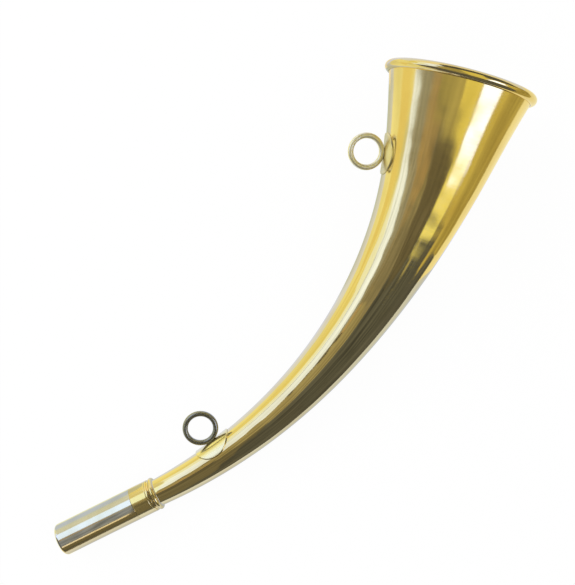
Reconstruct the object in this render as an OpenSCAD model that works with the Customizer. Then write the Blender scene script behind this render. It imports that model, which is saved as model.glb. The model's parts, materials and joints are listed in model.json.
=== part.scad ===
// Curved brass reed horn, lying as it rests on a table.
// The horn is drawn in its own frame first: the throat is at the origin, the mouthpiece runs
// along -X, and the tube bends towards +Y in the XY plane. One placement then lays it down.

/* [Horn tube] */
// Thickness of the brass sheet of the horn
sheet_t = 0.5; // [0.4:0.05:0.8]
// Outside diameter of the tube at the throat
throat_d = 10.1; // [9.6:0.1:10.8]
// Outside diameter of the sheet at the rim of the bell
bell_d = 51.6; // [46:0.2:56]
// Growth of the tube's diameter for each millimetre along its plain cone
taper = 0.088; // [0.07:0.002:0.1]
// Power of the flare that is added to the plain cone
flare_power = 3.57; // [2.8:0.01:4.5]
// Bend radius of the lower half of the curve, at the tube's centreline
lower_bend_r = 191; // [175:1:230]
// Length of the lower half of the curve
lower_bend_len = 85; // [75:1:95]
// Bend radius of the upper half of the curve
upper_bend_r = 208; // [190:1:250]
// Length of the upper half of the curve
upper_bend_len = 85.5; // [75:0.5:95]
// Straight length at the bell
bell_len = 21.2; // [16:0.2:30]

/* [Rim] */
// Outside diameter of the slit tube that is pushed over the edge of the bell
rim_bead_d = 3.4; // [2.8:0.1:4]
// Wall of the rim's slit tube
rim_bead_wall = 0.6; // [0.4:0.05:0.7]

/* [Rings] */
// Outside diameter of a cord ring
ring_d = 13.2; // [11:0.2:16]
// Diameter of a cord ring's wire
ring_wire_d = 2; // [1.6:0.1:2.4]
// Depth that a ring is filed to, where it sits on its plate
ring_filed = 0.3; // [0.1:0.05:0.5]
// Diameter of the saddle plate under a ring, before it is bent over the tube
plate_d = 14.8; // [12:0.2:17]
// Thickness of a saddle plate
plate_t = 0.5; // [0.4:0.05:0.8]
// Distance of the lower plate from the collar, along the centreline
lower_plate_at = 27.7; // [20:0.1:40]
// Distance of the upper plate from the collar, along the centreline
upper_plate_at = 160.6; // [120:0.1:165]
// Solder film under a plate, under a ring, in the rim's slit and round the throat
solder_t = 0.06; // [0.05:0.01:0.12]

/* [Collar] */
// Length of the collar that shows, with its bead
collar_len = 9.2; // [8.8:0.2:14]
// Diameter over the bead at the collar's horn end
bead_d = 12.4; // [12:0.1:14]
// Width of the bead
bead_w = 1.6; // [1.2:0.1:2.4]
// Width of the groove between the bead and the band
groove_w = 0.6; // [0.4:0.1:1]
// Depth of the groove
groove_depth = 0.4; // [0.2:0.05:0.5]
// Distance from the groove to the turned line
line_at = 0.9; // [0.6:0.1:3]
// Depth of the turned line
line_depth = 0.2; // [0.1:0.05:0.3]
// Length of the horn's throat that is soldered into the collar
seat_len = 7.5; // [5:0.5:8.5]
// Length of the spigot that the mouthpiece pushes over
spigot_len = 12; // [10:0.5:15]
// Bore that holds the reed plug
reed_bore_d = 8.4; // [7.6:0.1:8.8]
// Radial room between the mouthpiece and its spigot
push_fit = 0.03; // [0.02:0.01:0.06]

/* [Mouthpiece] */
// Outside diameter of the mouthpiece tube and of the collar's band
mouthpiece_d = 12; // [11.6:0.1:12.6]
// Wall of the mouthpiece tube
mouthpiece_wall = 0.6; // [0.5:0.05:0.7]
// Length of the mouthpiece tube
mouthpiece_len = 30.9; // [29:0.1:40]
// Radius that the mouth end is spun in to
lip_r = 1; // [0.8:0.05:1.4]

/* [Reed] */
// Length of the plug that is pressed into the collar
plug_len = 7; // [5:0.5:9]
// Thickness of the plug's flange
flange_t = 1; // [0.8:0.1:1.5]
// Outside diameter of the reed's shallot
shallot_d = 5.5; // [5:0.1:6]
// Wall of the shallot
shallot_wall = 0.5; // [0.4:0.05:0.6]
// Length of the shallot beyond the plug
shallot_reach = 12.5; // [11:0.5:14]
// Height of the shallot's flat face above its axis
flat_z = 0.9; // [0.6:0.05:1.1]
// Width of the slot in the flat face
slot_w = 2.2; // [1.6:0.1:2.6]
// Width of the tongue
tongue_w = 4.2; // [3.6:0.1:4.4]
// Thickness of the tongue
tongue_t = 0.2; // [0.15:0.01:0.25]
// Angle at which the tongue stands off the flat face
tongue_lift = 2.5; // [2.4:0.1:3.5]
// Width of the band that clamps the tongue
clamp_w = 2.4; // [2:0.1:3]
// Thickness of the clamping band
clamp_t = 0.7; // [0.5:0.05:0.9]

/* [Hidden] */
$fn = 72;

// Colours
brass = [0.86, 0.72, 0.4];
brass_dark = [0.72, 0.58, 0.3];
nickel = [0.8, 0.8, 0.78];
reed_brass = [0.8, 0.68, 0.42];
leaf_brass = [0.9, 0.78, 0.5];

// Steps of the faceted sheet, along the tube and round it
tube_steps = 36;
tube_sides = 64;
// Steps of a saddle plate, out from its middle and round it
plate_rings = 6;
plate_sides = 36;
// Facets of a turned quarter round, and the overlap that makes a cut clean
lip_steps = 10;
cut = 1;

// Centreline of the tube
lower_bend = lower_bend_len / lower_bend_r * 180 / PI;
upper_bend = upper_bend_len / upper_bend_r * 180 / PI;
bend_end = lower_bend_len + upper_bend_len;
tube_len = bend_end + bell_len;
function along(a) = [cos(a), sin(a)];
function across(a) = [-sin(a), cos(a)];
function angle_at(s) =
    s < 0 ? 0
    : s < lower_bend_len ? lower_bend * s / lower_bend_len
    : s < bend_end ? lower_bend + upper_bend * (s - lower_bend_len) / upper_bend_len
    : lower_bend + upper_bend;
function curvature_at(s) =
    s < lower_bend_len ? 1 / lower_bend_r : s < bend_end ? 1 / upper_bend_r : 0;
lower_centre = [0, lower_bend_r];
upper_centre = lower_centre + (upper_bend_r - lower_bend_r) * across(lower_bend);
function point_at(s) = let (a = angle_at(s))
    s < 0 ? [s, 0]
    : s < lower_bend_len ? lower_centre - lower_bend_r * across(a)
    : upper_centre - upper_bend_r * across(a) + max(0, s - bend_end) * along(a);

// Outside of the tube: a plain cone and a flare that grows towards the bell
throat_r = throat_d / 2;
flare = bell_d / 2 - throat_r - taper / 2 * tube_len;
function tube_r(s) = s < 0 ? throat_r
    : throat_r + taper / 2 * s + flare * pow(s / tube_len, flare_power);
function slope_at(s) = s < 0 ? 0
    : atan(taper / 2 + flare * flare_power / tube_len * pow(s / tube_len, flare_power - 1));
// A point of the tube's section, moved out from the surface by a lift: [distance, radius]
function section_at(s, lift) = let (b = slope_at(s))
    [s - lift * sin(b), tube_r(s) + lift * cos(b)];
// The same point in space, turned by w from the inner side of the bend
function in_space(p, w) = let (c = point_at(p[0]), n = across(angle_at(p[0])) * p[1] * cos(w))
    [c.x + n.x, c.y + n.y, p[1] * sin(w)];

// Rim: the edge of the sheet ends at the middle of the bead
rim_section = section_at(tube_len, -sheet_t / 2);
rim_r = rim_section[1];
function backwards(list) = [for (i = [len(list) - 1 : -1 : 0]) list[i]];

// Collar, mouthpiece and reed, along the mouthpiece's axis
band_r = mouthpiece_d / 2;
mouthpiece_in_r = band_r - mouthpiece_wall;
spigot_r = mouthpiece_in_r - push_fit;
spigot_end = -collar_len - spigot_len;
mouth_end = -collar_len - mouthpiece_len;
socket_r = throat_r + solder_t;
reed_bore_r = reed_bore_d / 2;
turned_edge = 0.3;
butt_gap = 0.02;
seat_gap = 0.02;
shallot_r = shallot_d / 2;
shallot_in_r = shallot_r - shallot_wall;
shallot_tip = spigot_end - flange_t - shallot_reach;
clamp_room = 0.5;
clamp_back = spigot_end - flange_t - clamp_room;
clamp_front = clamp_back - clamp_w;
root_gap = 0.08;
root_z = flat_z + root_gap;
tip_land = 0.5;
tongue_len = clamp_front - shallot_tip - tip_land;

// Where a ring sits on its plate, and its centre
ring_r = ring_d / 2;
function plate_slope(s) = angle_at(s) + slope_at(s);
function seat_point(s) = let (p = section_at(s, 2 * solder_t + plate_t))
    point_at(p[0]) + across(angle_at(p[0])) * p[1];
function ring_centre(s) = seat_point(s) + across(plate_slope(s)) * (ring_r - ring_filed);

// Rest: the horn lies on the collar's bead, the belly of the tube and the rim's bead.
// The lean n is the part of the upward direction that lies in the plane of the bend.
bell_angle = lower_bend + upper_bend;
rim_point = point_at(rim_section[0]);
bead_point = [-bead_w / 2, 0];
belly_from = 10;
belly_step = 1;
first_lean = [0, 0.25];
settling_turns = 12;
function shown(n, a) = sqrt(1 - pow(n * along(a), 2));
function low_at(n, s) = n * point_at(s) - tube_r(s) * shown(n, angle_at(s));
function belly(n) = let (
        places = [for (s = [belly_from : belly_step : tube_len - bell_len]) s],
        lows = [for (s = places) low_at(n, s)])
    places[search(min(lows), lows)[0]];
function solved(a, b, u, v) = [u * b.y - v * a.y, a.x * v - b.x * u] / cross(a, b);
function settled(n, turns) = turns == 0 ? n : let (
        s = belly(n),
        belly_drop = tube_r(s) * shown(n, angle_at(s)),
        rim_drop = rim_r * shown(n, bell_angle) + rim_bead_d / 2,
        bead_drop = (bead_d - bead_w) / 2 * shown(n, 0) + bead_w / 2)
    settled(solved(rim_point - point_at(s), bead_point - point_at(s),
        rim_drop - belly_drop, bead_drop - belly_drop), turns - 1);
lean = settled(first_lean, settling_turns);
up = [lean.x, lean.y, sqrt(1 - lean * lean)];

// The long side of the resting horn becomes X
function unit(v) = v / norm(v);
function flat3(p) = [p.x, p.y, 0];
chord = flat3(rim_point - [mouth_end, 0]);
long_way = unit(chord - up * (chord * up));
side_way = cross(up, long_way);

// How far the horn reaches in a direction e
function disc_reach(e, p, axis, r) = e * flat3(p) + r * sqrt(1 - pow(e * axis, 2));
function reach(e) = max(concat(
    [for (s = [0 : tube_len / tube_steps : tube_len])
        disc_reach(e, point_at(s), flat3(along(angle_at(s))), tube_r(s))],
    [for (s = [lower_plate_at, upper_plate_at])
        disc_reach(e, ring_centre(s), [0, 0, 1], ring_r - ring_wire_d / 2) + ring_wire_d / 2],
    [disc_reach(e, rim_point, flat3(along(bell_angle)), rim_r) + rim_bead_d / 2,
     disc_reach(e, bead_point, [1, 0, 0], (bead_d - bead_w) / 2) + bead_w / 2,
     disc_reach(e, [mouth_end + lip_r, 0], [1, 0, 0], band_r - lip_r) + lip_r]));
middle_x = (reach(long_way) - reach(-long_way)) / 2;
middle_y = (reach(side_way) - reach(-side_way)) / 2;
floor_z = -reach(-up);

// Lays the horn down with its origin under the middle of its box
module laid_down() {
    multmatrix([
        concat(long_way, [-middle_x]),
        concat(side_way, [-middle_y]),
        concat(up, [-floor_z]),
        [0, 0, 0, 1]
    ]) children();
}

// Turned shapes are drawn as [radius, distance] and lie along the mouthpiece's axis
module turned(outline) {
    rotate([0, 90, 0]) rotate_extrude() polygon(outline);
}

module rod(r, from, to) {
    translate([from, 0, 0]) rotate([0, 90, 0]) cylinder(r = r, h = to - from);
}

// A slab across the axis, from one distance to another, below a height
module below(z, from, to) {
    span = 4 * band_r;
    translate([from, -span / 2, z - span]) cube([to - from, span, span]);
}

// Closed skin swept round the centreline from a closed section
module swept(section) {
    count = len(section);
    points = [for (p = section) for (j = [0 : tube_sides - 1]) in_space(p, 360 * j / tube_sides)];
    faces = [for (i = [0 : count - 1]) for (j = [0 : tube_sides - 1]) let (
            a = i * tube_sides, b = (i + 1) % count * tube_sides, k = (j + 1) % tube_sides)
        each [[a + j, a + k, b + j], [a + k, b + k, b + j]]];
    polyhedron(points, faces);
}

module horn_body() {
    places = [for (i = [0 : tube_steps]) tube_len * i / tube_steps];
    outside = concat([[-seat_len, throat_r]], [for (s = places) section_at(s, 0)]);
    inside = concat([[-seat_len, throat_r - sheet_t]], [for (s = places) section_at(s, -sheet_t)]);
    color(brass) laid_down()
        swept(concat(outside, backwards(inside)));
}

// Tube bent to a ring, slit on the side of the sheet, which is soldered into the slit
module rim_bead() {
    slit = sheet_t + 2 * solder_t;
    color(brass) laid_down()
        translate(flat3(rim_point)) rotate([0, 90, bell_angle]) rotate_extrude()
            translate([rim_r, 0]) difference() {
                circle(d = rim_bead_d);
                circle(d = rim_bead_d - 2 * rim_bead_wall);
                rotate(-slope_at(tube_len)) translate([-slit / 2, -rim_bead_d])
                    square([slit, rim_bead_d]);
            }
}

// Disc of sheet bent over the inner side of the tube, with a filed edge.
// The inner side of the bend is shorter than the centreline, so the disc spans more of it.
module saddle_plate(place) {
    span = cos(slope_at(place)) / (1 - tube_r(place) * curvature_at(place));
    function skin(lift, size) = [for (i = [1 : plate_rings]) for (j = [0 : plate_sides - 1]) let (
            rho = size / 2 * i / plate_rings,
            phi = 360 * j / plate_sides,
            s = place + rho * cos(phi) * span)
        in_space(section_at(s, lift), rho * sin(phi) / tube_r(s) * 180 / PI)];
    under = concat(skin(solder_t, plate_d), [in_space(section_at(place, solder_t), 0)]);
    over = concat(skin(solder_t + plate_t, plate_d - plate_t),
        [in_space(section_at(place, solder_t + plate_t), 0)]);
    count = len(under);
    edge = (plate_rings - 1) * plate_sides;
    function fan(start, flip) = [for (j = [0 : plate_sides - 1]) let (k = (j + 1) % plate_sides)
        flip ? [start + count - 1, start + k, start + j] : [start + count - 1, start + j, start + k]];
    function strips(start, flip) = [
        for (i = [0 : plate_rings - 2]) for (j = [0 : plate_sides - 1]) let (
                k = (j + 1) % plate_sides, a = start + i * plate_sides, b = a + plate_sides)
            each flip ? [[a + j, a + k, b + j], [a + k, b + k, b + j]]
                : [[a + j, b + j, a + k], [a + k, b + j, b + k]]];
    sides = [for (j = [0 : plate_sides - 1]) let (k = (j + 1) % plate_sides, a = edge, b = count + edge)
        each [[a + j, b + j, a + k], [a + k, b + j, b + k]]];
    polyhedron(concat(under, over), concat(fan(0, false), strips(0, false), sides,
        fan(count, true), strips(count, true)));
}

module lower_ring_plate() {
    color(brass) laid_down() saddle_plate(lower_plate_at);
}

module upper_ring_plate() {
    color(brass) laid_down() saddle_plate(upper_plate_at);
}

// Wire ring, filed to the curve of its plate
module cord_ring(place) {
    seat_r = tube_r(place) / cos(slope_at(place)) + plate_t + 2 * solder_t;
    difference() {
        translate(flat3(ring_centre(place))) rotate_extrude()
            translate([(ring_d - ring_wire_d) / 2, 0]) circle(d = ring_wire_d);
        translate(flat3(seat_point(place) - across(plate_slope(place)) * seat_r))
            rotate([0, 90, plate_slope(place)]) cylinder(r = seat_r, h = ring_d, center = true);
    }
}

module lower_ring() {
    color(brass) laid_down() cord_ring(lower_plate_at);
}

module upper_ring() {
    color(brass) laid_down() cord_ring(upper_plate_at);
}

// Turned collar: a socket for the throat, a bead, a groove, a band with a turned line,
// and a spigot for the mouthpiece
module collar() {
    band_end = -bead_w - groove_w;
    line_place = band_end - line_at;
    color(brass) laid_down() difference() {
        union() {
            turned([
                [0, spigot_end], [spigot_r - turned_edge, spigot_end],
                [spigot_r, spigot_end + turned_edge], [spigot_r, -collar_len],
                [band_r, -collar_len], [band_r, band_end], [band_r - groove_depth, band_end],
                [band_r - groove_depth, -bead_w / 2], [0, -bead_w / 2]
            ]);
            translate([-bead_w / 2, 0, 0]) rotate([0, 90, 0]) rotate_extrude()
                translate([(bead_d - bead_w) / 2, 0]) circle(d = bead_w);
        }
        rod(reed_bore_r, spigot_end - cut, cut);
        rod(socket_r, -seat_len, cut);
        turned([
            [band_r - line_depth, line_place], [band_r + cut, line_place - line_depth - cut],
            [band_r + cut, line_place + line_depth + cut]
        ]);
    }
}

// Plated tube with its mouth end spun in to a round edge
module mouthpiece_tube() {
    centre = [band_r - lip_r, mouth_end + lip_r];
    function quarter(r) = [for (i = [0 : lip_steps]) centre + r * along(-90 * i / lip_steps)];
    color(nickel) laid_down() turned(concat(
        [[band_r, -collar_len - butt_gap]],
        quarter(lip_r),
        backwards(quarter(lip_r - mouthpiece_wall)),
        [[mouthpiece_in_r, -collar_len - butt_gap]]));
}

module reed_plug() {
    plug_r = reed_bore_r - seat_gap;
    back = spigot_end + plug_len;
    color(brass_dark) laid_down() difference() {
        turned([
            [0, spigot_end - flange_t], [spigot_r - 2 * turned_edge, spigot_end - flange_t],
            [spigot_r - turned_edge, spigot_end - flange_t + turned_edge],
            [spigot_r - turned_edge, spigot_end], [plug_r, spigot_end],
            [plug_r, back - turned_edge], [plug_r - turned_edge, back], [0, back]
        ]);
        rod(shallot_r + seat_gap, spigot_end - flange_t - cut, back + cut);
    }
}

// Half-round tube with a slot in its flat face, closed at its tip
module reed_shallot() {
    tail = spigot_end + plug_len;
    shoulder = clamp_back + turned_edge;
    cap = shallot_tip + shallot_wall;
    slot_back = clamp_front - turned_edge;
    color(reed_brass) laid_down() difference() {
        rod(shallot_r, shallot_tip, tail);
        translate([shallot_tip - cut, -band_r, flat_z])
            cube([shoulder - shallot_tip + cut, 2 * band_r, band_r]);
        rod(shallot_in_r, shoulder, tail + cut);
        intersection() {
            rod(shallot_in_r, cap, shoulder + cut);
            below(flat_z - shallot_wall, cap, shoulder + cut);
        }
        translate([cap + turned_edge, -slot_w / 2, 0])
            cube([slot_back - cap - turned_edge, slot_w, band_r]);
    }
}

// Band that holds the tongue's root down on the shallot
module reed_clamp() {
    in_r = shallot_r + seat_gap;
    in_z = root_z + tongue_t + root_gap;
    color(brass_dark) laid_down() difference() {
        intersection() {
            rod(in_r + clamp_t, clamp_front, clamp_back);
            below(in_z + clamp_t, clamp_front - cut, clamp_back + cut);
        }
        intersection() {
            rod(in_r, clamp_front - cut, clamp_back + cut);
            below(in_z, clamp_front - cut, clamp_back + cut);
        }
    }
}

// Thin brass leaf: a flat root under the clamp, then a blade that stands off the slot
module reed_tongue() {
    blade = tongue_len - tongue_w / 2;
    color(leaf_brass) laid_down() union() {
        translate([clamp_front, -tongue_w / 2, root_z]) cube([clamp_w, tongue_w, tongue_t]);
        translate([clamp_front, 0, root_z]) rotate([0, tongue_lift, 0]) {
            translate([-blade, -tongue_w / 2, 0]) cube([blade, tongue_w, tongue_t]);
            translate([-blade, 0, 0]) cylinder(d = tongue_w, h = tongue_t);
        }
    }
}

horn_body();
rim_bead();
lower_ring_plate();
upper_ring_plate();
lower_ring();
upper_ring();
collar();
mouthpiece_tube();
reed_plug();
reed_shallot();
reed_clamp();
reed_tongue();
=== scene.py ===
"""Curved brass reed horn with a nickel-plated mouthpiece, lying on a white table."""

import json
import logging
import math
from dataclasses import KW_ONLY, dataclass
from enum import Enum
from typing import Callable, Sequence

import bmesh
import bpy
from mathutils import Matrix, Vector


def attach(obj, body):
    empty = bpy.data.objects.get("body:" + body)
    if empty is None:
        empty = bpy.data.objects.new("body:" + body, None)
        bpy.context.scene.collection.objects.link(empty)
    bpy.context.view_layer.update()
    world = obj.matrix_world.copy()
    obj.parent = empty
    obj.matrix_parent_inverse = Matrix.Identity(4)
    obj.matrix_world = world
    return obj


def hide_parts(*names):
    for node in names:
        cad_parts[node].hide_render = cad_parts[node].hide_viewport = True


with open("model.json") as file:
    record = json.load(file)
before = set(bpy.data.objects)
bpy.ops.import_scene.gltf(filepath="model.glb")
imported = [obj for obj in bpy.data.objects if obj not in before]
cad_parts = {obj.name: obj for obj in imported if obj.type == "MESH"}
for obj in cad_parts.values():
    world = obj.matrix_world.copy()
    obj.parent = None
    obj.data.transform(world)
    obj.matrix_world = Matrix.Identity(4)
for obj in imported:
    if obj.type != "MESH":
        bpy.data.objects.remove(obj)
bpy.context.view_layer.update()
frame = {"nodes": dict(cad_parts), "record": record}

log = logging.getLogger("reed_horn")

MM = 0.001
FULL_TURN = 2 * math.pi
STRAIGHT = "straight"
FADE = "fade"
HORN_BODY = "horn"
MOUTHPIECE_BODY = "mouthpiece"
ALONG_TUBE = Vector((1, 0, 0))
OFF_TUBE = Vector((0, 1, 0))
SOLDER_CREASE = 60

Outline = list[tuple[float, float]]


# Shop tools: drawing, spinning and finishing a piece


def arc(centre: tuple[float, float], radius: float, start: float, end: float,
        steps: int) -> Outline:
    """Draws points along an arc.

    Args:
        centre: Middle of the arc, in millimetres.
        radius: Radius in millimetres.
        start: First angle in degrees.
        end: Last angle in degrees.
        steps: Number of chords.

    Returns:
        The points from the first angle to the last.
    """
    angles = [math.radians(start + (end - start) * i / steps) for i in range(steps + 1)]
    return [(centre[0] + radius * math.cos(a), centre[1] + radius * math.sin(a)) for a in angles]


def steadied(outline: Outline, reach: float) -> Outline:
    """Adds a point near each end of a long side, so that the side is shaded flat.

    Args:
        outline: Points of a closed outline.
        reach: Distance of the added points from the corners.

    Returns:
        The outline with the added points.
    """
    points = []
    for i, here in enumerate(outline):
        there = outline[(i + 1) % len(outline)]
        run = math.dist(here, there)
        shares = (0, reach / run, 1 - reach / run) if run > 4 * reach else (0,)
        points += [(here[0] + (there[0] - here[0]) * t, here[1] + (there[1] - here[1]) * t) for t in shares]
    return points


def spun(outline: Outline, axis: Vector, sides: int) -> bmesh.types.BMesh:
    """Spins a closed outline to a solid of revolution.

    Args:
        outline: Points as distance along X and distance from X along Y.
        axis: Axis of the spin through the origin.
        sides: Facets round the axis.

    Returns:
        The spun solid, with its faces pointing outwards.
    """
    bm = bmesh.new()
    verts = [bm.verts.new((x, y, 0)) for x, y in outline]
    edges = [bm.edges.new((verts[i - 1], verts[i])) for i in range(len(verts))]
    bmesh.ops.spin(bm, geom=verts + edges, cent=(0, 0, 0), axis=axis, dvec=(0, 0, 0),
                   angle=FULL_TURN, space=Matrix.Identity(4), steps=sides, use_merge=True,
                   use_normal_flip=False, use_duplicate=False)
    bmesh.ops.remove_doubles(bm, verts=bm.verts, dist=1e-5)
    bmesh.ops.dissolve_degenerate(bm, dist=1e-6, edges=bm.edges)
    bmesh.ops.recalc_face_normals(bm, faces=bm.faces)
    return bm


def solder_section(foot: float, reach: float, rise: float, steps: int) -> Outline:
    """Draws the hollow slope of a solder fillet in its corner.

    Args:
        foot: Place of the corner along Y, in millimetres.
        reach: How far the solder runs out along X.
        rise: How far it climbs along Y.
        steps: Chords along the slope.

    Returns:
        The closed outline.
    """
    shares = [i / steps for i in range(steps + 1)]
    return [(0, foot)] + [(reach * (1 - share), foot + rise * share ** 2) for share in shares]


def soften(bm: bmesh.types.BMesh, width: float, sharper_than: float, segments: int = 2) -> None:
    """Breaks the sharp edges of a piece, as a file or a buff does.

    Args:
        bm: The piece.
        width: Width of the broken edge in millimetres.
        sharper_than: Smallest angle between faces that counts as an edge, in degrees.
        segments: Facets across the broken edge.
    """
    limit = math.radians(sharper_than)
    edges = [e for e in bm.edges if e.is_manifold and e.calc_face_angle(0) > limit]
    if edges:
        bmesh.ops.bevel(bm, geom=edges, offset=width, offset_type="OFFSET", affect="EDGES",
                        segments=segments, profile=0.5, material=-1, clamp_overlap=True)


def remember_straight(bm: bmesh.types.BMesh) -> None:
    """Keeps where each point is before bending, in metres, for patterns that follow the tube.

    Args:
        bm: The piece, still straight, in millimetres.
    """
    layer = bm.verts.layers.float_vector.new(STRAIGHT)
    for vert in bm.verts:
        vert[layer] = vert.co * MM


def moved(bm: bmesh.types.BMesh, where: Callable[[Vector], Vector]) -> None:
    """Moves each point of a piece to where a rule takes it."""
    for vert in bm.verts:
        vert.co = where(vert.co)


def linked(name: str, data: bpy.types.ID) -> bpy.types.Object:
    """Adds an object of a mesh, camera or lamp to the scene, at the origin.

    Args:
        name: Name of the object.
        data: The mesh, camera or lamp.

    Returns:
        The new object.
    """
    made = bpy.data.objects.new(name, data)
    bpy.context.scene.collection.objects.link(made)
    return made


def shaped(name: str, bm: bmesh.types.BMesh) -> bpy.types.Object:
    """Turns a shape into an object of the scene.

    Args:
        name: Name of the object and its mesh.
        bm: The shape. It is freed.

    Returns:
        The new object.
    """
    mesh = bpy.data.meshes.new(name)
    bm.to_mesh(mesh)
    bm.free()
    return linked(name, mesh)


def finished(name: str, bm: bmesh.types.BMesh, placement: Matrix,
             crease: float = 38) -> bpy.types.Object:
    """Turns a piece into an object at the origin, with its place in its mesh.

    Args:
        name: Name of the piece.
        bm: The piece in millimetres, in the horn's own frame. It is freed.
        placement: Takes the horn's own frame to the row frame, in metres.
        crease: Angle above which an edge stays crisp, in degrees.

    Returns:
        The new object, smooth shaded.
    """
    piece = shaped(name, bm)
    piece.data.transform(placement)
    piece.data.shade_smooth()
    piece.data.set_sharp_from_angle(angle=math.radians(crease))
    return piece


def dressed(piece: bpy.types.Object, finish: "Finish") -> None:
    """Gives a whole piece one finish."""
    piece.data.materials.clear()
    piece.data.materials.append(finish.material())


def fitted(piece: bpy.types.Object, body: str, slot: str, finish: "Finish",
           *nodes: str) -> bpy.types.Object:
    """Puts a piece on its body, dresses it and reports it.

    Args:
        piece: The finished object.
        body: The body that it moves with.
        slot: The record's material slot. Not used.
        finish: Its finish.
        nodes: The solids that it stands for.

    Returns:
        The same object.
    """
    dressed(piece, finish)
    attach(piece, body)
    if nodes:
        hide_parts(*nodes)
    log.info("%s: %d faces, on %s, %s", piece.name, len(piece.data.polygons), body, finish.name)
    return piece


# Finishes


def linear(code: str) -> tuple[float, float, float, float]:
    """Turns an sRGB hex colour to linear light.

    Args:
        code: The colour, such as "#E2C46E".

    Returns:
        Linear red, green and blue, and an alpha of 1.
    """
    parts = [int(code[i:i + 2], 16) / 255 for i in (1, 3, 5)]
    r, g, b = (c / 12.92 if c <= 0.04045 else ((c + 0.055) / 1.055) ** 2.4 for c in parts)
    return r, g, b, 1.0


def add_node(tree: bpy.types.NodeTree, kind: str, settings: dict | None = None,
             links: dict | None = None) -> bpy.types.Node:
    """Adds a node to a material or world.

    Args:
        tree: The node tree.
        kind: The node's type name.
        settings: Values by property name or by input socket name or number.
        links: Output sockets by the input socket that they feed.

    Returns:
        The new node.
    """
    node = tree.nodes.new(kind)
    for key, value in (settings or {}).items():
        if isinstance(key, str) and hasattr(node, key):
            setattr(node, key, value)
        else:
            node.inputs[key].default_value = value
    for key, output in (links or {}).items():
        tree.links.new(output, node.inputs[key])
    return node


def emptied(data: bpy.types.Material | bpy.types.World) -> bpy.types.NodeTree:
    """Switches a material or world to nodes and clears them away.

    Args:
        data: The material or world.

    Returns:
        Its empty node tree.
    """
    data.use_nodes = True
    data.node_tree.nodes.clear()
    return data.node_tree


# Levels of a pattern between which its effect goes from none to full
SPOT_SPAN = (0.45, 0.75)
LINE_SPAN = (0.3, 0.75)
MOTTLE_SPAN = (0.3, 0.7)


class Mapped(Enum):
    """Coordinates that a pattern follows."""

    OBJECT = "object"
    TUBE = "tube"


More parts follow.
